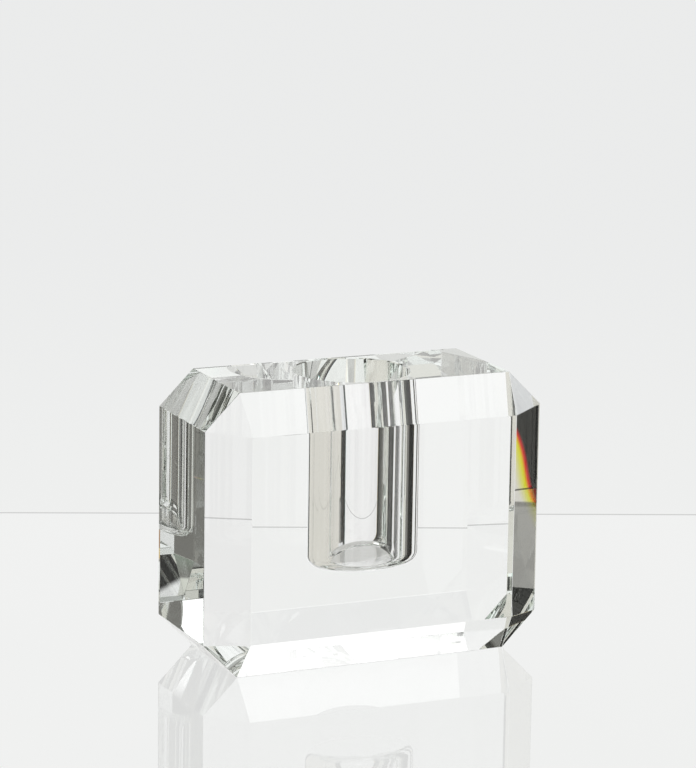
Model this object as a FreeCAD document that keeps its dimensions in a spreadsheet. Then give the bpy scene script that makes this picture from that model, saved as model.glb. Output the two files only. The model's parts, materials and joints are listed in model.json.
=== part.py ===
import FreeCAD, Part
import Sketcher
import os
from math import isclose, pi

# Cut crystal vase: one block of clear crystal, cut like an emerald-cut stone that stands on
# its long side, with a round flower bore ground straight down from the middle of its top.
#
# Frame: +X is the width, +Y runs from the front face to the back face, +Z is up.
# The origin is the centre of the flat base. All sizes are in millimetres.

NODE = "crystal_block"

DIMENSIONS = [
    # alias, value, what it is
    ("width", 152.0, "overall width, end face to end face"),
    ("height", 120.0, "overall height, base to top face"),
    ("girdle_depth", 51.0, "depth of the top, end and base faces"),
    ("crown_rise", 11.0, "how far each big face stands out from the girdle"),
    ("bevel_width", 16.5, "width of a sloping bevel, seen from the front"),
    ("corner_cut", 15.0, "leg of the 45 degree cut at each corner"),
    ("bore_diameter", 49.0, "inside diameter of the flower bore"),
    ("bore_depth", 80.0, "top face to the floor of the bore"),
    ("floor_radius", 5.0, "round between the wall and the floor of the bore"),
    ("mouth_chamfer", 0.4, "polished edge at the mouth of the bore"),
]

# Formulas over the sheet's cells.
HALF_WIDTH = "Sizes.width / 2"
HALF_HEIGHT = "Sizes.height / 2"
HALF_DEPTH = "Sizes.girdle_depth / 2 + Sizes.crown_rise"
HALF_CUT_WIDTH = "Sizes.width / 2 - Sizes.corner_cut"
CUT_HEIGHT = "Sizes.height - Sizes.corner_cut"
DIAGONAL_REACH = "(Sizes.width / 2 + Sizes.height / 2 - Sizes.corner_cut) / sqrt(2)"
DIAGONAL_RUN = "(2 * Sizes.bevel_width - Sizes.corner_cut) / sqrt(2)"

# Each set of facets is cut by one sketch that lies through the middle of the block and is
# tilted about the front-to-back axis: name, tilt in degrees, how far the girdle face is from
# the middle along the sketch, and how wide the facet is along the sketch.
FACET_SETS = [
    ("EndBevels", 0, HALF_WIDTH, "Sizes.bevel_width"),
    ("LevelBevels", 90, HALF_HEIGHT, "Sizes.bevel_width"),
    ("RisingCorners", -45, DIAGONAL_REACH, DIAGONAL_RUN),
    ("FallingCorners", 45, DIAGONAL_REACH, DIAGONAL_RUN),
]

EDGE_TOLERANCE = 1e-4            # millimetres
BAD_STATES = ("Invalid", "Error")


def make_sheet(doc):
    """Writes the driving dimensions into a sheet, one named cell each."""
    sheet = doc.addObject("Spreadsheet::Sheet", "Sizes")
    for row, (alias, value, note) in enumerate(DIMENSIONS, start=1):
        sheet.set("A%d" % row, alias)
        sheet.set("B%d" % row, str(value))
        sheet.set("C%d" % row, note)
        sheet.setAlias("B%d" % row, alias)
    doc.recompute()
    return sheet


def make_sketch(body, name, role):
    """Adds a sketch to the body, flat on one of its own origin planes."""
    plane = next(item for item in body.Origin.OriginFeatures if item.Role == role)
    sketch = body.newObject("Sketcher::SketchObject", name)
    sketch.AttachmentSupport = [(plane, "")]
    sketch.MapMode = "FlatFace"
    return sketch


def bind(sketch, constraint, name, formula):
    """Adds a constraint, names it and ties it to a formula over the sheet."""
    index = sketch.addConstraint(constraint)
    sketch.renameConstraint(index, name)
    sketch.setExpression("Constraints." + name, formula)


def place_start(sketch, line, kind, side, formula):
    """Holds the start of a line at a formula's distance from the sketch's origin."""
    value = sketch.evalExpression(formula)
    ends = (-1, 1, line, 1) if side > 0 else (line, 1, -1, 1)
    bind(sketch, Sketcher.Constraint(kind, *ends, value), "%s_%d" % (kind, line), formula)


def draw_loop(sketch, corners):
    """Draws a closed loop of lines. A corner is a side and a formula for each direction."""
    first = sketch.GeometryCount
    points = []
    for side_x, reach_x, side_y, reach_y in corners:
        across = side_x * sketch.evalExpression(reach_x) if side_x else 0
        along = side_y * sketch.evalExpression(reach_y) if side_y else 0
        points.append(FreeCAD.Vector(across, along, 0))
    count = len(points)
    for index in range(count):
        sketch.addGeometry(Part.LineSegment(points[index], points[(index + 1) % count]))
    for index in range(count):
        here, following = first + index, first + (index + 1) % count
        sketch.addConstraint(Sketcher.Constraint("Coincident", here, 2, following, 1))
    for index, (side_x, reach_x, side_y, reach_y) in enumerate(corners):
        line = first + index
        place_start(sketch, line, "DistanceX", side_x, reach_x)
        if side_y:
            place_start(sketch, line, "DistanceY", side_y, reach_y)
        else:
            sketch.addConstraint(Sketcher.Constraint("PointOnObject", line, 1, -1))


def pad_girdle(body):
    """Makes the blank: the front outline with its corners cut, as deep as the whole block."""
    sketch = make_sketch(body, "FrontOutline", "XZ_Plane")
    draw_loop(sketch, [
        (-1, HALF_CUT_WIDTH, 0, ""),
        (1, HALF_CUT_WIDTH, 0, ""),
        (1, HALF_WIDTH, 1, "Sizes.corner_cut"),
        (1, HALF_WIDTH, 1, CUT_HEIGHT),
        (1, HALF_CUT_WIDTH, 1, "Sizes.height"),
        (-1, HALF_CUT_WIDTH, 1, "Sizes.height"),
        (-1, HALF_WIDTH, 1, CUT_HEIGHT),
        (-1, HALF_WIDTH, 1, "Sizes.corner_cut"),
    ])
    pad = body.newObject("PartDesign::Pad", "Blank")
    pad.Profile = sketch
    pad.SideType = "Symmetric"
    pad.setExpression("Length", "2 * (%s)" % HALF_DEPTH)
    return pad


def cut_facets(body, name, tilt, reach, run):
    """Cuts four equal facets: one wedge for each end and each big face of the block."""
    sketch = make_sketch(body, name + "Profile", "XY_Plane")
    turn = FreeCAD.Rotation(FreeCAD.Vector(0, 1, 0), tilt)
    sketch.AttachmentOffset = FreeCAD.Placement(FreeCAD.Vector(0, 0, 0), turn)
    sketch.setExpression(".AttachmentOffset.Base.z", HALF_HEIGHT)
    table_reach = "(%s) - (%s)" % (reach, run)
    for end in (-1, 1):
        for face in (-1, 1):
            draw_loop(sketch, [
                (end, table_reach, face, HALF_DEPTH),
                (end, reach, face, HALF_DEPTH),
                (end, reach, face, "Sizes.girdle_depth / 2"),
            ])
    pocket = body.newObject("PartDesign::Pocket", name)
    pocket.Profile = sketch
    pocket.Type = "ThroughAll"
    pocket.SideType = "Symmetric"
    return pocket


def cut_bore(body):
    """Grinds the flower bore down from the middle of the top face."""
    sketch = make_sketch(body, "BoreCircle", "XY_Plane")
    sketch.setExpression(".AttachmentOffset.Base.z", "Sizes.height")
    radius = sketch.evalExpression("Sizes.bore_diameter / 2")
    circle = sketch.addGeometry(Part.Circle(FreeCAD.Vector(0, 0, 0), FreeCAD.Vector(0, 0, 1), radius))
    sketch.addConstraint(Sketcher.Constraint("Coincident", circle, 3, -1, 1))
    bind(sketch, Sketcher.Constraint("Diameter", circle, 2 * radius), "bore", "Sizes.bore_diameter")
    pocket = body.newObject("PartDesign::Pocket", "FlowerBore")
    pocket.Profile = sketch
    pocket.setExpression("Length", "Sizes.bore_depth")
    return pocket


def round_edges_at(shape, level):
    """Names the circular edges of a shape that lie at one height."""
    names = []
    for index, edge in enumerate(shape.Edges, start=1):
        round_edge = isinstance(edge.Curve, Part.Circle)
        if round_edge and isclose(edge.CenterOfMass.z, level, abs_tol=EDGE_TOLERANCE):
            names.append("Edge%d" % index)
    return names


def dress_bore(body, bore, sheet):
    """Rounds the edge of the bore's floor and breaks the edge of its mouth."""
    fillet = body.newObject("PartDesign::Fillet", "FloorRound")
    fillet.Base = (bore, round_edges_at(bore.Shape, sheet.height - sheet.bore_depth))
    fillet.setExpression("Radius", "Sizes.floor_radius")
    body.Document.recompute()
    chamfer = body.newObject("PartDesign::Chamfer", "MouthEdge")
    chamfer.Base = (fillet, round_edges_at(fillet.Shape, sheet.height))
    chamfer.setExpression("Size", "Sizes.mouth_chamfer")
    return chamfer


def check_cut(doc, before, feature, expected=None):
    """Stops if a cutting feature took nothing away, or not the volume it should."""
    doc.recompute()
    taken = before.Shape.Volume - feature.Shape.Volume
    if taken <= 0:
        raise RuntimeError(feature.Name + " cut nothing")
    if expected is not None and not isclose(taken, expected, rel_tol=1e-6):
        raise RuntimeError("%s cut %.3f, not %.3f" % (feature.Name, taken, expected))


def check_document(doc):
    """Stops if any object failed to compute."""
    for item in doc.Objects:
        if any(state in item.State for state in BAD_STATES):
            raise RuntimeError("%s is %s" % (item.Name, item.State))


def make_crystal_block(doc, sheet):
    """Builds the whole vase body as one solid."""
    body = doc.addObject("PartDesign::Body", "CrystalBlock")
    body.Label = NODE
    latest = pad_girdle(body)
    doc.recompute()
    for name, tilt, reach, run in FACET_SETS:
        facets = cut_facets(body, name, tilt, reach, run)
        check_cut(doc, latest, facets)
        latest = facets
    bore = cut_bore(body)
    check_cut(doc, latest, bore, pi / 4 * sheet.bore_diameter ** 2 * sheet.bore_depth)
    dress_bore(body, bore, sheet)
    body.Placement = FreeCAD.Placement()
    doc.recompute()
    return body


def export(body):
    """Checks the body's solid and writes it as parts/NODE.step."""
    shape = body.Shape
    if shape.isNull() or not shape.isValid() or len(shape.Solids) != 1:
        raise RuntimeError(body.Label + " isn't one valid solid")
    shape.exportStep("parts/%s.step" % body.Label)
    box = shape.BoundBox
    print("%s: %.1f x %.1f x %.1f mm, %.0f cubic mm, %d faces" % (
        body.Label, box.XLength, box.YLength, box.ZLength, shape.Volume, len(shape.Faces)))


def main():
    os.makedirs("parts", exist_ok=True)
    doc = FreeCAD.newDocument("CutCrystalVase")
    sheet = make_sheet(doc)
    body = make_crystal_block(doc, sheet)
    check_document(doc)
    export(body)


main()
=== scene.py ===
"""Cut crystal vase: one block of clear crystal with a flower bore, on a glossy table in a pale studio."""

import json
import math

import bmesh
import bpy
from bpy.props import FloatProperty, FloatVectorProperty, IntProperty, PointerProperty
from mathutils import Matrix, Vector


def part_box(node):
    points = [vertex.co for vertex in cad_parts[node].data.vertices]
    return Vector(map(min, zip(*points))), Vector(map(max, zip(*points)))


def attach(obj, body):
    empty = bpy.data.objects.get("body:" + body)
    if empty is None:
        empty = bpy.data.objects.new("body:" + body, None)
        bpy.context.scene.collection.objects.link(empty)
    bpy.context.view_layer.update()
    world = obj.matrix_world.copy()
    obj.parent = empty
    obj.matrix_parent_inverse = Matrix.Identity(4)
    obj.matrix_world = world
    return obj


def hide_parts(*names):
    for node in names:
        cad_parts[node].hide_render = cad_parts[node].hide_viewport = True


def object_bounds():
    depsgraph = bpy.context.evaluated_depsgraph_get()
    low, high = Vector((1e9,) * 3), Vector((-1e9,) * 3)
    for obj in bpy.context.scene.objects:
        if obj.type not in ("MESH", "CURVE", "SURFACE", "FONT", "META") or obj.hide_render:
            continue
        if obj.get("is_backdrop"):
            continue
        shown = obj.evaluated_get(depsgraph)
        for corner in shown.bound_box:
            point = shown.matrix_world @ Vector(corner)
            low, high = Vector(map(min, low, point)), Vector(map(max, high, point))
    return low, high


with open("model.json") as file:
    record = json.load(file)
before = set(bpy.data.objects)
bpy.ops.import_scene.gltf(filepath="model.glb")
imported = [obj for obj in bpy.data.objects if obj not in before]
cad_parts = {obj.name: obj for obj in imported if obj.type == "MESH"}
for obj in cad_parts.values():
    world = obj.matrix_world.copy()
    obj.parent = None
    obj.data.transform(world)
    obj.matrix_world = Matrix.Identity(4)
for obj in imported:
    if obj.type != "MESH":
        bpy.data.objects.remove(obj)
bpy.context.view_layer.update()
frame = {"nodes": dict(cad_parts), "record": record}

bl_info = {
    "name": "Cut Crystal Vase",
    "version": (1, 0, 0),
    "blender": (4, 5, 0),
    "location": "View3D > Sidebar > Vase",
    "description": "An emerald-cut crystal block with a round flower bore, and the studio it stands in",
    "category": "Add Mesh",
}

MM = 0.001
NODE = "crystal_block"
BODY = "root"
EDGE_MASK = "edge_break"
FLOOR_MASK = "bore_floor"


# ---------------------------------------------------------------- sizes taken from the frame


def measure_block():
    """The block's sizes in metres, read off the corners of its node and its flower bore mount."""
    near = 0.01 * MM
    points = [vertex.co for vertex in frame["nodes"][NODE].data.vertices]
    low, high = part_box(NODE)
    mount = next(m for m in frame["record"]["mounts"] if m["name"] == "flower_bore")
    bore_radius = mount["dims"]["r_mm"] * MM
    front_face = [p for p in points if p.y < low.y + near]
    end_face = [p for p in points if p.x > high.x - near]
    mouth = [math.hypot(p.x, p.y) for p in points if p.z > high.z - near]
    bore = [p for p in points if math.hypot(p.x, p.y) < bore_radius + near and p.z > low.z + near]
    bore_floor = min(p.z for p in bore)
    flat_radius = max(math.hypot(p.x, p.y) for p in bore if p.z < bore_floor + near)
    return {
        "width": high.x - low.x,
        "height": high.z - low.z,
        "depth": high.y - low.y,
        "girdle": 2 * max(p.y for p in end_face),
        "bevel": high.x - max(p.x for p in front_face),
        "corner": high.z - max(p.z for p in end_face),
        "bore_radius": bore_radius,
        "bore_floor": bore_floor - low.z,
        "floor_round": bore_radius - flat_radius,
        "mouth_break": min(mouth) - bore_radius,
    }


CUT = measure_block()


# ---------------------------------------------------------------- settings


def length(title, text, default):
    """A property that holds a length in metres."""
    return FloatProperty(name=title, description=text, default=default, min=0.0, unit="LENGTH")


class BlockSettings(bpy.types.PropertyGroup):
    """Sizes of the cut block and its bore."""

    width: length("Width", "Width across the two end facets", CUT["width"])
    height: length("Height", "Height from the base to the top facet", CUT["height"])
    depth: length("Depth", "Thickness over the two large faces", CUT["depth"])
    girdle: length("Girdle depth", "Depth of the end, top and base facets", CUT["girdle"])
    bevel: length("Bevel width", "Width of a bevel facet, seen from the front", CUT["bevel"])
    corner: length("Corner cut", "How far each corner of the outline is cut back", CUT["corner"])
    edge_break: length("Edge break", "Width of the fine facet along each edge", 0.22 * MM)
    bore_radius: length("Bore radius", "Radius of the flower bore", CUT["bore_radius"])
    bore_floor: length("Bore floor", "Height of the bore's floor above the base", CUT["bore_floor"])
    floor_round: length("Floor round", "Radius of the round at the bore's floor", CUT["floor_round"])
    mouth_break: length("Mouth break", "Width of the edge break at the mouth", CUT["mouth_break"])
    bore_sides: IntProperty(
        name="Bore sides", description="Number of sides round the bore", default=256, min=16
    )


class CrystalSettings(bpy.types.PropertyGroup):
    """Finish of the crystal."""

    ior: FloatProperty(
        name="IOR", description="Index of refraction of the crystal", default=1.52, min=1.0, max=2.5
    )
    polish: FloatProperty(
        name="Polish", description="Roughness of a polished facet", default=0.0, min=0.0, max=1.0
    )
    haze: FloatProperty(
        name="Haze", description="Roughness that faint haze adds", default=0.004, min=0.0, max=1.0
    )
    satin: FloatProperty(
        name="Satin", description="Roughness that the bore's floor adds", default=0.05, min=0.0, max=1.0
    )
    body_colour: FloatVectorProperty(
        name="Body colour",
        description="Colour that light keeps as it goes through the crystal",
        default=(0.80, 0.91, 0.84),
        size=3,
        min=0.0,
        max=1.0,
        subtype="COLOR",
    )
    density: FloatProperty(
        name="Density", description="Absorption per metre of crystal", default=1.2, min=0.0
    )


class StageSettings(bpy.types.PropertyGroup):
    """The table, the studio and the camera."""

    table_half: length("Table half width", "Half of the table's width", 0.300)
    table_back: length("Table back", "Distance from the vase to the table's far edge", 0.228)
    table_front: length("Table front", "Distance from the vase to the table's near edge", 0.300)
    table_thick: length("Table thickness", "Thickness of the table top", 0.012)
    table_edge: length("Table edge", "Width of the slope ground along the table's edges", 0.0040)
    table_turn: FloatProperty(
        name="Table turn",
        description="How far the table is turned from the vase",
        default=math.radians(-21.3),
        subtype="ANGLE",
    )
    backdrop: FloatProperty(
        name="Backdrop", description="Brightness of the plain backdrop", default=0.86, min=0.0
    )
    view_azimuth: FloatProperty(
        name="Camera azimuth",
        description="Turn of the camera round the vase, from straight in front",
        default=math.radians(-24.264),
        subtype="ANGLE",
    )
    view_elevation: FloatProperty(
        name="Camera elevation",
        description="Angle that the camera looks down at",
        default=math.radians(12.324),
        subtype="ANGLE",
    )
    view_roll: FloatProperty(
        name="Camera roll",
        description="Turn of the camera about its own axis",
        default=math.radians(0.908),
        subtype="ANGLE",
    )
    view_distance: length("Camera distance", "Distance from the camera to its aim", 1.4785)
    aim_side: FloatProperty(
        name="Aim to the side",
        description="How far right of the bore's axis the camera aims",
        default=-1.27 * MM,
        unit="LENGTH",
    )
    aim_height: length("Aim height", "Height of the camera's aim above the table", 0.11392)
    lens: FloatProperty(name="Lens", description="Focal length in millimetres", default=165.6, min=1.0)


class VaseSettings(bpy.types.PropertyGroup):
    """All settings of the vase and its stage."""

    block: PointerProperty(type=BlockSettings)
    crystal: PointerProperty(type=CrystalSettings)
    stage: PointerProperty(type=StageSettings)


# ---------------------------------------------------------------- the cut block


def octagon(half_width, bottom, top, corner):
    """Corners of an upright eight-sided outline, as (x, z), in order round it."""
    inner = half_width - corner
    return [
        (-inner, bottom),
        (inner, bottom),
        (half_width, bottom + corner),
        (half_width, top - corner),
        (inner, top),
        (-inner, top),
        (-half_width, top - corner),
        (-half_width, bottom + corner),
    ]


def add_rough_block(mesh, cut):
    """Adds the block without its bore: two large faces, eight bevels, eight corner facets, eight ends."""
    outline = octagon(cut.width / 2, 0, cut.height, cut.corner)
    half_face = cut.width / 2 - cut.bevel
    face_bottom, face_top = cut.bevel, cut.height - cut.bevel
    face_corners = [
        (-half_face, face_bottom),
        (half_face, face_bottom),
        (half_face, face_top),
        (-half_face, face_top),
    ]
    rims = []
    sides = range(len(outline))
    for way in (-1, 1):
        rim = [mesh.verts.new((x, way * cut.girdle / 2, z)) for x, z in outline]
        face = [mesh.verts.new((x, way * cut.depth / 2, z)) for x, z in face_corners]
        mesh.faces.new(face)
        nearest = [face[(i + 1) // 2 % len(face)] for i in sides]
        for i in sides:
            if nearest[i] is nearest[i - 1]:
                mesh.faces.new((rim[i - 1], rim[i], nearest[i]))
            else:
                mesh.faces.new((rim[i - 1], rim[i], nearest[i], nearest[i - 1]))
        rims.append(rim)
    front, back = rims
    for i in sides:
        mesh.faces.new((front[i - 1], front[i], back[i], back[i - 1]))


def break_edges(mesh, cut, mask):
    """Grinds a fine flat along every edge, as on a hand-finished block, and marks it in the mask."""
    made = bmesh.ops.bevel(
        mesh,
        geom=mesh.edges[:],
        offset=cut.edge_break,
        offset_type="WIDTH",
        segments=1,
        profile=0.5,
        affect="EDGES",
        clamp_overlap=True,
    )
    for face in made["faces"]:
        face[mask] = 1.0


def bore_profile(cut):
    """Radius and height of the bore's rings, from the mouth down to its floor."""
    guard = 0.3 * MM
    steps = 12
    floor_rings = (0.98, 0.6, 0.2)
    round_top = cut.bore_floor + cut.floor_round
    flat_radius = cut.bore_radius - cut.floor_round
    profile = [
        (cut.bore_radius + cut.mouth_break, cut.height),
        (cut.bore_radius, cut.height - cut.mouth_break),
        (cut.bore_radius, cut.height - cut.mouth_break - guard),
        (cut.bore_radius, round_top + guard),
    ]
    for i in range(steps + 1):
        angle = math.pi / 2 * i / steps
        profile.append(
            (
                flat_radius + cut.floor_round * math.cos(angle),
                round_top - cut.floor_round * math.sin(angle),
            )
        )
    profile += [(share * flat_radius, cut.bore_floor) for share in floor_rings]
    return profile


def add_bore(mesh, cut, mask):
    """Opens the top facet and adds the bore's wall, round and floor below it."""
    top = max(mesh.faces, key=lambda face: face.calc_center_median().z + face.normal.z)
    border = list(top.edges)
    bmesh.ops.delete(mesh, geom=[top], context="FACES_ONLY")
    rings = []
    for radius, z in bore_profile(cut):
        ring = []
        for i in range(cut.bore_sides):
            turn = 2 * math.pi * i / cut.bore_sides
            ring.append(mesh.verts.new((radius * math.cos(turn), radius * math.sin(turn), z)))
        rings.append(ring)
    sides = range(cut.bore_sides)
    mouth_edges = [mesh.edges.new((rings[0][i], rings[0][i - 1])) for i in sides]
    bmesh.ops.triangle_fill(mesh, edges=border + mouth_edges, use_beauty=True)
    round_top = cut.bore_floor + cut.floor_round
    for upper, lower in zip(rings, rings[1:]):
        for i in sides:
            face = mesh.faces.new((upper[i - 1], upper[i], lower[i], lower[i - 1]))
            face.smooth = True
            if face.calc_center_median().z < round_top:
                face[mask] = 1.0
    centre = mesh.verts.new((0, 0, cut.bore_floor))
    for i in sides:
        face = mesh.faces.new((rings[-1][i - 1], rings[-1][i], centre))
        face.smooth = True
        face[mask] = 1.0
    for ring in rings[:2]:
        for i in sides:
            mesh.edges.get((ring[i], ring[i - 1])).smooth = False


def build_block(cut):
    """The cut block with its bore, as one closed mesh."""
    mesh = bmesh.new()
    edge_mask = mesh.faces.layers.float.new(EDGE_MASK)
    floor_mask = mesh.faces.layers.float.new(FLOOR_MASK)
    add_rough_block(mesh, cut)
    bmesh.ops.recalc_face_normals(mesh, faces=mesh.faces)
    break_edges(mesh, cut, edge_mask)
    mesh.normal_update()
    add_bore(mesh, cut, floor_mask)
    bmesh.ops.recalc_face_normals(mesh, faces=mesh.faces)
    open_edges = sum(not edge.is_manifold for edge in mesh.edges)
    volume = mesh.calc_volume()
    if open_edges or volume <= 0:
        raise RuntimeError(f"the block isn't closed: {open_edges} open edges, volume {volume:g} m3")
    data = bpy.data.meshes.new("cut_crystal_block")
    mesh.to_mesh(data)
    mesh.free()
    piece = bpy.data.objects.new("cut_crystal_block", data)
    bpy.context.scene.collection.objects.link(piece)
    return piece


# ---------------------------------------------------------------- shader node helpers


def put(tree, socket, value):
    """Gives a socket a value, or links another node's output to it."""
    if isinstance(value, bpy.types.NodeSocket):
        tree.links.new(value, socket)
    else:
        socket.default_value = value


def add_node(tree, kind, inputs=None, **settings):
    """Adds a node with these settings and inputs, by name or number."""
    node = tree.nodes.new(kind)
    for name, value in settings.items():
        setattr(node, name, value)
    for name, value in (inputs or {}).items():
        put(tree, node.inputs[name], value)
    return node


def work_out(tree, operation, *values):
    """A Math node's result for these values."""
    node = add_node(tree, "ShaderNodeMath", operation=operation)
    for socket, value in zip(node.inputs, values):
        put(tree, socket, value)
    return node.outputs[0]


def ramp(tree, value, low, high):
    """A value that rises softly from 0 to 1 as the input goes from low to high."""
    node = add_node(
        tree,
        "ShaderNodeMapRange",
        {"Value": value, "From Min": low, "From Max": high, "To Min": 0.0, "To Max": 1.0},
        interpolation_type="SMOOTHSTEP",
    )
    return node.outputs["Result"]


def new_group(name, inputs, outputs):
    """A shader node group with these sockets, and its input and output nodes."""
    tree = bpy.data.node_groups.new(name, "ShaderNodeTree")
    for title, kind, default in inputs:
        socket = tree.interface.new_socket(title, in_out="INPUT", socket_type=kind)
        if default is not None:
            socket.default_value = default
    for title, kind in outputs:
        tree.interface.new_socket(title, in_out="OUTPUT", socket_type=kind)
    return tree, tree.nodes.new("NodeGroupInput"), tree.nodes.new("NodeGroupOutput")


def use_group(tree, group, inputs):
    """Places a node group in a tree, with its own values."""
    node = tree.nodes.new("ShaderNodeGroup")
    node.node_tree = group
    for name, value in inputs.items():
        put(tree, node.inputs[name], value)
    return node


# The part of the haze noise that shows as haze, and the levels of detail in the haze and the waves.
HAZE_FROM = 0.45
HAZE_TO = 0.75
HAZE_DETAIL = 4.0
WAVE_DETAIL = 1.0

# Colour of a hazed patch: on the crystal, and on a sheet as a share of the sheet's see-through tint, which
# on the table's edge slope is painted shade.
HAZED_CRYSTAL = (0.985, 0.99, 0.985)
HAZED_SHEET = (0.992, 0.994, 0.992)

# How strongly the polishing waves bend the light on the bore's floor, and how deep they are.
WAVE_STRENGTH = 0.02
WAVE_DEPTH = 0.02 * MM

SHEET_IOR = 1.5
WHITE = (1.0, 1.0, 1.0, 1.0)


def polish_group():
    """Polished surface: faint haze in the roughness, and the slow waves that polishing leaves."""
    tree, given, result = new_group(
        "PolishedSurface",
        [
            ("Polish", "NodeSocketFloat", 0.0),
            ("Haze", "NodeSocketFloat", 0.01),
            ("Satin", "NodeSocketFloat", 0.0),
            ("Haze Scale", "NodeSocketFloat", 20.0),
            ("Wave Scale", "NodeSocketFloat", 60.0),
        ],
        [("Roughness", "NodeSocketFloat"), ("Waves", "NodeSocketFloat"), ("Clean", "NodeSocketFloat")],
    )
    place = add_node(tree, "ShaderNodeTexCoord").outputs["Object"]
    haze = add_node(
        tree,
        "ShaderNodeTexNoise",
        {"Vector": place, "Scale": given.outputs["Haze Scale"], "Detail": HAZE_DETAIL},
    )
    waves = add_node(
        tree,
        "ShaderNodeTexNoise",
        {"Vector": place, "Scale": given.outputs["Wave Scale"], "Detail": WAVE_DETAIL},
    )
    patches = ramp(tree, haze.outputs[0], HAZE_FROM, HAZE_TO)
    hazed = work_out(tree, "MULTIPLY_ADD", patches, given.outputs["Haze"], given.outputs["Polish"])
    rough = work_out(tree, "ADD", hazed, given.outputs["Satin"])
    put(tree, result.inputs["Roughness"], rough)
    put(tree, result.inputs["Waves"], waves.outputs[0])
    put(tree, result.inputs["Clean"], work_out(tree, "SUBTRACT", 1.0, patches))
    return tree


def blank_material(name):
    """An empty material with its output node."""
    material = bpy.data.materials.new(name)
    material.use_nodes = True
    material.node_tree.nodes.clear()
    return material, material.node_tree, material.node_tree.nodes.new("ShaderNodeOutputMaterial")


def crystal_material(look, polished):
    """Clear crystal: polished facets, fine-ground edges, a slightly satin bore floor, a faint tint."""
    material, tree, output = blank_material("clear_crystal")
    edges = add_node(tree, "ShaderNodeAttribute", attribute_name=EDGE_MASK).outputs["Fac"]
    bore_floor = add_node(tree, "ShaderNodeAttribute", attribute_name=FLOOR_MASK).outputs["Fac"]
    satin = work_out(tree, "MULTIPLY", work_out(tree, "MAXIMUM", edges, bore_floor), look.satin)
    surface = use_group(
        tree,
        polished,
        {"Polish": look.polish, "Haze": look.haze, "Satin": satin, "Haze Scale": 26.0, "Wave Scale": 90.0},
    )
    tint = add_node(
        tree,
        "ShaderNodeMix",
        {"Factor": surface.outputs["Clean"], "A": (*HAZED_CRYSTAL, 1.0), "B": WHITE},
        data_type="RGBA",
    )
    bump = add_node(
        tree,
        "ShaderNodeBump",
        {
            "Strength": WAVE_STRENGTH,
            "Distance": WAVE_DEPTH,
            "Height": work_out(tree, "MULTIPLY", surface.outputs["Waves"], bore_floor),
        },
    )
    crystal = add_node(
        tree,
        "ShaderNodeBsdfPrincipled",
        {
            "Base Color": tint.outputs["Result"],
            "Roughness": surface.outputs["Roughness"],
            "Metallic": 0.0,
            "IOR": look.ior,
            "Transmission Weight": 1.0,
            "Normal": bump.outputs["Normal"],
        },
    )
    body = add_node(
        tree,
        "ShaderNodeVolumeAbsorption",
        {"Color": (*look.body_colour, 1.0), "Density": look.density},
    )
    tree.links.new(crystal.outputs["BSDF"], output.inputs["Surface"])
    tree.links.new(body.outputs["Volume"], output.inputs["Volume"])
    return material


def sheet_material(name, polished, tint, haze):
    """A clear glossy sheet: it lets the backdrop through and mirrors the vase on its upper side only."""
    material, tree, output = blank_material(name)
    surface = use_group(
        tree,
        polished,
        {"Polish": 0.0, "Haze": haze, "Satin": 0.0, "Haze Scale": 3.0, "Wave Scale": 20.0},
    )
    tone = add_node(
        tree,
        "ShaderNodeMix",
        {
            "Factor": surface.outputs["Clean"],
            "A": (*(tint * share for share in HAZED_SHEET), 1.0),
            "B": (tint, tint, tint, 1.0),
        },
        data_type="RGBA",
    )
    clear = add_node(tree, "ShaderNodeBsdfTransparent", {"Color": tone.outputs["Result"]})
    gloss = add_node(
        tree,
        "ShaderNodeBsdfGlossy",
        {"Color": WHITE, "Roughness": surface.outputs["Roughness"]},
    )
    underside = add_node(tree, "ShaderNodeNewGeometry").outputs["Backfacing"]
    mirror = add_node(tree, "ShaderNodeFresnel", {"IOR": SHEET_IOR}).outputs[0]
    share = work_out(tree, "MULTIPLY", mirror, work_out(tree, "SUBTRACT", 1.0, underside))
    mixed = add_node(tree, "ShaderNodeMixShader", {0: share, 1: clear.outputs[0], 2: gloss.outputs[0]})
    tree.links.new(mixed.outputs[0], output.inputs["Surface"])
    return material


# ---------------------------------------------------------------- the studio


# Where the curve of a panel's upright edges crosses their plain line, and how long one fold is, in
# degrees of elevation.
FOLD_MIDDLE = -13.66
FOLD_LENGTH = 2.4

# For red, green and blue, in parts of the fire angle: the shift of a panel's edges, where a negative
# shift is to the right, and how much wider they fade.
FIRE_SPLIT = ((-0.4, 0.0), (0.0, 0.0), (0.4, 0.9))


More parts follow.
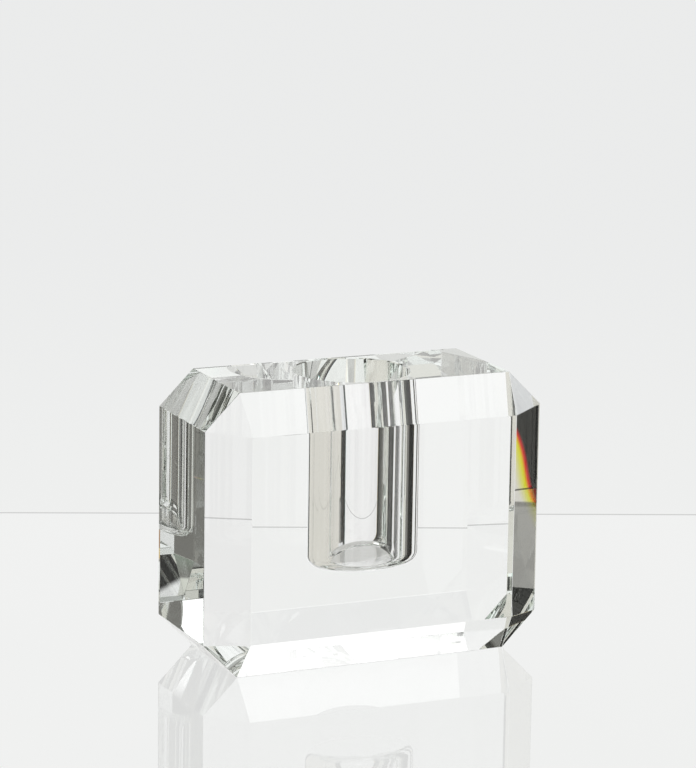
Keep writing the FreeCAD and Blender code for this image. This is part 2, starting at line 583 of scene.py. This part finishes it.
def panel_group():
    """One light panel or wall of the studio, laid over what is behind it.

    Its upright edges split into colours by the angle Fire, as a prism splits them: red moves a little
    to the right, and blue to the left with a slower fade. Fold bends them into a slow wave."""
    tree, given, result = new_group(
        "StudioPanel",
        [
            ("Behind", "NodeSocketColor", (0.0, 0.0, 0.0, 1.0)),
            ("Azimuth", "NodeSocketFloat", 0.0),
            ("Elevation", "NodeSocketFloat", 0.0),
            ("Colour", "NodeSocketColor", (1.0, 1.0, 1.0, 1.0)),
            ("Middle", "NodeSocketFloat", 0.0),
            ("Half Width", "NodeSocketFloat", 10.0),
            ("Low", "NodeSocketFloat", -90.0),
            ("High", "NodeSocketFloat", 90.0),
            ("Softness", "NodeSocketFloat", 1.0),
            ("Fire", "NodeSocketFloat", 0.0),
            ("Fold", "NodeSocketFloat", 0.0),
        ],
        [("Colour", "NodeSocketColor")],
    )
    get = given.outputs
    away = work_out(tree, "SUBTRACT", get["Azimuth"], get["Middle"])
    away = work_out(tree, "WRAP", away, 180.0, -180.0)
    fold_turn = work_out(tree, "SUBTRACT", get["Elevation"], FOLD_MIDDLE)
    fold = work_out(tree, "SINE", work_out(tree, "MULTIPLY", fold_turn, 2 * math.pi / FOLD_LENGTH))
    away = work_out(tree, "SUBTRACT", away, work_out(tree, "MULTIPLY", fold, get["Fold"]))
    above = ramp(tree, work_out(tree, "SUBTRACT", get["Elevation"], get["Low"]), 0.0, get["Softness"])
    below = ramp(tree, work_out(tree, "SUBTRACT", get["High"], get["Elevation"]), 0.0, get["Softness"])
    inside = work_out(tree, "MULTIPLY", above, below)
    masks = []
    for share, fade in FIRE_SPLIT:
        moved = work_out(tree, "MULTIPLY_ADD", get["Fire"], share, away)
        inset = work_out(tree, "SUBTRACT", get["Half Width"], work_out(tree, "ABSOLUTE", moved))
        width = work_out(tree, "MULTIPLY_ADD", get["Fire"], fade, get["Softness"])
        masks.append(work_out(tree, "MULTIPLY", ramp(tree, inset, 0.0, width), inside))
    behind = add_node(tree, "ShaderNodeSeparateColor", {"Color": get["Behind"]})
    front = add_node(tree, "ShaderNodeSeparateColor", {"Color": get["Colour"]})
    joined = add_node(tree, "ShaderNodeCombineColor")
    for i, mask in enumerate(masks):
        mixed = add_node(
            tree, "ShaderNodeMix", {"Factor": mask, "A": behind.outputs[i], "B": front.outputs[i]}
        )
        put(tree, joined.inputs[i], mixed.outputs["Result"])
    put(tree, result.inputs["Colour"], joined.outputs["Color"])
    return tree


def wall(name, colour, left, right, low=-90.0, high=90.0, softness=1.0, fire=0.0, fold=0.0):
    """The inputs of one panel that spans these azimuths and elevations, in degrees."""
    return {
        "label": name,
        "Colour": (*colour, 1.0),
        "Middle": (left + right) / 2,
        "Half Width": (right - left) / 2,
        "Low": low,
        "High": high,
        "Softness": softness,
        "Fire": fire,
        "Fold": fold,
    }


# Azimuths count from behind the vase, clockwise seen from above: 0 is +Y and 90 is +X. Each panel lies
# over the ones before it.
STUDIO = [
    wall("studio floor", (0.60, 0.60, 0.58), -180.0, 180.0, high=-40.0, softness=3.0),
    wall("bright floor", (0.88, 0.89, 0.87), 103.0, 146.0, high=-45.0, softness=2.0, fire=0.5),
    wall("floor stripe", (1.06, 1.07, 1.05), 115.5, 121.0, low=-66.0, high=-45.0, softness=1.0, fire=0.4),
    wall("floor gap", (0.05, 0.05, 0.045), 86.0, 103.0, low=-66.0, high=-45.0, softness=1.0, fire=0.5),
    wall("front wall", (0.19, 0.185, 0.17), 84.0, 232.0, low=-40.0, softness=5.0),
    wall("front skirting", (0.06, 0.065, 0.055), 84.0, 232.0, low=-40.0, high=-16.5, softness=2.0),
    wall("strip light", (0.98, 1.0, 0.98), 99.5, 103.8, low=-40.0, high=30.0, softness=0.6, fire=0.3),
    wall(
        "left wall",
        (0.72, 0.70, 0.645),
        -120.0,
        -23.44,
        low=-40.0,
        high=72.0,
        softness=0.07,
        fire=0.12,
        fold=0.105,
    ),
    wall("left skirting gap", (0.06, 0.06, 0.06), -27.0, -21.0, low=-14.5, high=-14.15, softness=0.04),
    wall("left skirting", (0.24, 0.24, 0.23), -27.0, -21.0, low=-28.0, high=-14.22, softness=0.05),
    wall("low side light", (0.80, 0.81, 0.82), -30.0, -15.0, low=-42.0, high=-29.0, softness=2.0),
    wall("backdrop", (0.93, 0.93, 0.925), -11.0, 56.0, low=-43.0, high=46.5, softness=0.12, fire=0.2),
    wall("backdrop side", (0.89, 0.885, 0.885), 36.0, 56.0, low=-43.0, high=30.0, softness=4.0),
    wall("backdrop dip", (0.89, 0.89, 0.89), 14.0, 31.0, low=1.5, high=5.3, softness=0.4),
    wall("backdrop glow", (1.2, 1.2, 1.2), 18.0, 28.5, low=5.2, high=9.0, softness=0.8),
    wall("backdrop top", (1.45, 1.45, 1.45), 18.0, 46.0, low=36.0, high=45.9, softness=1.5),
    wall("backdrop crest", (2.0, 2.0, 2.0), 31.0, 46.0, low=41.0, high=45.9, softness=1.2),
    wall("backdrop shoulder", (1.06, 1.06, 1.06), -11.0, 18.0, low=20.0, high=45.9, softness=2.0),
    wall("window sill", (0.70, 0.71, 0.64), 108.0, 122.0, low=-8.0, high=1.4, softness=0.06),
    wall("front window", (0.24, 0.28, 0.23), 108.0, 122.0, low=1.34, high=6.0, softness=0.5),
    wall("front low light", (0.98, 0.98, 0.96), 112.0, 138.0, low=-38.0, high=-27.0, softness=1.5),
    wall("front gap", (0.03, 0.03, 0.03), 166.0, 188.0, low=36.0, high=46.0, softness=2.0),
    wall("ceiling", (0.45, 0.46, 0.44), -180.0, 180.0, low=58.0, softness=8.0),
    wall("front left softbox", (1.0, 1.0, 1.0), -168.0, -122.0, low=30.0, high=44.0, softness=1.5),
    wall("front centre light", (0.88, 0.88, 0.87), 166.0, 212.0, low=-46.0, high=26.0, softness=3.0),
    wall("left high light", (0.95, 0.95, 0.95), -122.0, -80.0, low=30.0, high=34.0, softness=1.0),
    wall("front high light", (0.85, 0.85, 0.85), -146.0, -127.0, low=47.0, high=56.0, softness=1.5),
    wall("front right softbox", (1.6, 1.6, 1.6), 138.0, 162.0, low=38.0, high=58.0, softness=0.5, fire=0.3),
]


# What shows between the panels.
DARK_ROOM = (0.012, 0.012, 0.011)

# The plain backdrop's tint low down and high up, and the elevations that it changes between.
BACKDROP_LOW = (1.0, 1.008, 1.0)
BACKDROP_HIGH = (0.965, 0.972, 0.97)
BACKDROP_FADE = (-15.0, -9.0)


def build_studio(stage):
    """The walls and light panels round the vase, as a world, with a plain backdrop for the camera."""
    world = bpy.data.worlds.new("studio")
    world.use_nodes = True
    tree = world.node_tree
    tree.nodes.clear()
    direction = add_node(tree, "ShaderNodeTexCoord").outputs["Generated"]
    parts = add_node(tree, "ShaderNodeSeparateXYZ", {"Vector": direction})
    x, y, z = parts.outputs
    azimuth = work_out(tree, "DEGREES", work_out(tree, "ARCTAN2", x, y))
    elevation = work_out(tree, "DEGREES", work_out(tree, "ARCSINE", z))
    panel = panel_group()
    colour = (*DARK_ROOM, 1.0)
    for inputs in STUDIO:
        values = {name: value for name, value in inputs.items() if name != "label"}
        node = use_group(
            tree, panel, {"Behind": colour, "Azimuth": azimuth, "Elevation": elevation, **values}
        )
        node.label = inputs["label"]
        colour = node.outputs["Colour"]
    around = add_node(tree, "ShaderNodeBackground", {"Color": colour, "Strength": 1.0})
    low_tone = (*(stage.backdrop * share for share in BACKDROP_LOW), 1.0)
    high_tone = (*(stage.backdrop * share for share in BACKDROP_HIGH), 1.0)
    fade = ramp(tree, elevation, *BACKDROP_FADE)
    plain_colour = add_node(
        tree, "ShaderNodeMix", {"Factor": fade, "A": low_tone, "B": high_tone}, data_type="RGBA"
    )
    plain = add_node(
        tree, "ShaderNodeBackground", {"Color": plain_colour.outputs["Result"], "Strength": 1.0}
    )
    seen = add_node(tree, "ShaderNodeLightPath").outputs["Is Camera Ray"]
    mixed = add_node(tree, "ShaderNodeMixShader", {0: seen, 1: around.outputs[0], 2: plain.outputs[0]})
    output = tree.nodes.new("ShaderNodeOutputWorld")
    tree.links.new(mixed.outputs[0], output.inputs["Surface"])
    bpy.context.scene.world = world


def build_table(stage, clear, edge):
    """The table top, a clear sheet with its upper edges ground to a narrow slope, turned under the vase.

    The slope has the edge material, whose dark see-through tint is painted shade, and the rest of the sheet
    has the clear one."""
    air = 0.05 * MM
    drop = 0.5 * MM
    slope = stage.table_edge
    mesh = bmesh.new()
    rings = []
    for inset, z in ((0.0, -stage.table_thick), (0.0, -air - drop), (slope, -air)):
        left, right = inset - stage.table_half, stage.table_half - inset
        near, far = inset - stage.table_front, stage.table_back - inset
        corners = [(left, near), (right, near), (right, far), (left, far)]
        rings.append([mesh.verts.new((x, y, z)) for x, y in corners])
    mesh.faces.new(reversed(rings[0]))
    mesh.faces.new(rings[-1])
    for part, (lower, upper) in enumerate(zip(rings, rings[1:])):
        for i in range(4):
            face = mesh.faces.new((lower[i - 1], lower[i], upper[i], upper[i - 1]))
            face.material_index = part
    mesh.transform(Matrix.Rotation(stage.table_turn, 4, "Z"))
    data = bpy.data.meshes.new("table_top")
    mesh.to_mesh(data)
    mesh.free()
    data.materials.append(clear)
    data.materials.append(edge)
    table = bpy.data.objects.new("table_top", data)
    bpy.context.scene.collection.objects.link(table)
    return table


SOFTBOX_PLACE = Vector((0.1, 0.2, 1.6))
SOFTBOX_AIM = Vector((0.0, 0.0, 0.0))
SOFTBOX_SIZE = 1.0
SOFTBOX_POWER = 1.5


def add_softbox(name, place, aim, size, power):
    """A square soft lamp that points from one place to another."""
    lamp = bpy.data.lights.new(name, "AREA")
    lamp.size = size
    lamp.energy = power
    light = bpy.data.objects.new(name, lamp)
    light.location = place
    light.rotation_mode = "QUATERNION"
    light.rotation_quaternion = (aim - place).to_track_quat("-Z", "Y")
    light.visible_camera = False
    bpy.context.scene.collection.objects.link(light)


def build_camera(stage):
    """The camera, aimed just below the top of the vase."""
    azimuth, elevation = stage.view_azimuth, stage.view_elevation
    forward = Vector(
        (
            -math.sin(azimuth) * math.cos(elevation),
            math.cos(azimuth) * math.cos(elevation),
            -math.sin(elevation),
        )
    )
    right = Vector((math.cos(azimuth), math.sin(azimuth), 0.0))
    low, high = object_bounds()
    middle = Vector(((low.x + high.x) / 2, (low.y + high.y) / 2, low.z))
    aim = middle + right * stage.aim_side + Vector((0.0, 0.0, stage.aim_height))
    camera_data = bpy.data.cameras.new("camera")
    camera_data.lens = stage.lens
    camera = bpy.data.objects.new("camera", camera_data)
    camera.location = aim - forward * stage.view_distance
    camera.rotation_mode = "QUATERNION"
    turn = forward.to_track_quat("-Z", "Y").to_matrix() @ Matrix.Rotation(stage.view_roll, 3, "Z")
    camera.rotation_quaternion = turn.to_quaternion()
    bpy.context.scene.collection.objects.link(camera)
    bpy.context.scene.camera = camera


# ---------------------------------------------------------------- operators and panel


def shared_polish():
    """The polished surface group, made once."""
    return bpy.data.node_groups.get("PolishedSurface") or polish_group()


class VASE_OT_cut_block(bpy.types.Operator):
    """Cut the crystal block with its flower bore and give it its finish"""

    bl_idname = "vase.cut_block"
    bl_label = "Cut crystal block"

    def execute(self, context):
        settings = context.scene.crystal_vase
        piece = build_block(settings.block)
        piece.data.materials.append(crystal_material(settings.crystal, shared_polish()))
        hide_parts(NODE)
        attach(piece, BODY)
        return {"FINISHED"}


class VASE_OT_set_stage(bpy.types.Operator):
    """Set up the table, the studio and the camera"""

    bl_idname = "vase.set_stage"
    bl_label = "Table, studio and camera"

    def execute(self, context):
        stage = context.scene.crystal_vase.stage
        clear = sheet_material("clear_sheet", shared_polish(), tint=1.0, haze=0.004)
        # The edge's tint of 0.36 is painted shade: it darkens what shows through the slope into the dark
        # line along the table's far edge.
        edge = sheet_material("edge_painted_shade", shared_polish(), tint=0.36, haze=0.1)
        table = build_table(stage, clear, edge)
        table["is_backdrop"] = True
        build_studio(stage)
        add_softbox("overhead_softbox", SOFTBOX_PLACE, SOFTBOX_AIM, SOFTBOX_SIZE, SOFTBOX_POWER)
        build_camera(stage)
        scene = context.scene
        scene.view_settings.view_transform = "Standard"
        scene.cycles.max_bounces = 32
        scene.cycles.glossy_bounces = 24
        scene.cycles.transmission_bounces = 24
        return {"FINISHED"}


class VASE_PT_tools(bpy.types.Panel):
    """Lists the steps that make the vase and its stage"""

    bl_idname = "VASE_PT_tools"
    bl_label = "Cut Crystal Vase"
    bl_space_type = "VIEW_3D"
    bl_region_type = "UI"
    bl_category = "Vase"

    def draw(self, context):
        settings = context.scene.crystal_vase
        for group in (settings.block, settings.crystal, settings.stage):
            for name in group.__annotations__:
                self.layout.prop(group, name)
        self.layout.operator(VASE_OT_cut_block.bl_idname)
        self.layout.operator(VASE_OT_set_stage.bl_idname)


CLASSES = (
    BlockSettings,
    CrystalSettings,
    StageSettings,
    VaseSettings,
    VASE_OT_cut_block,
    VASE_OT_set_stage,
    VASE_PT_tools,
)


def register():
    """Registers the classes and the scene's settings."""
    for cls in CLASSES:
        bpy.utils.register_class(cls)
    bpy.types.Scene.crystal_vase = PointerProperty(type=VaseSettings)


def unregister():
    """Takes the settings and the classes away again."""
    del bpy.types.Scene.crystal_vase
    for cls in reversed(CLASSES):
        bpy.utils.unregister_class(cls)


def main():
    """Makes the vase and its stage."""
    register()
    bpy.ops.vase.cut_block()
    bpy.ops.vase.set_stage()


if __name__ == "__main__":
    main()
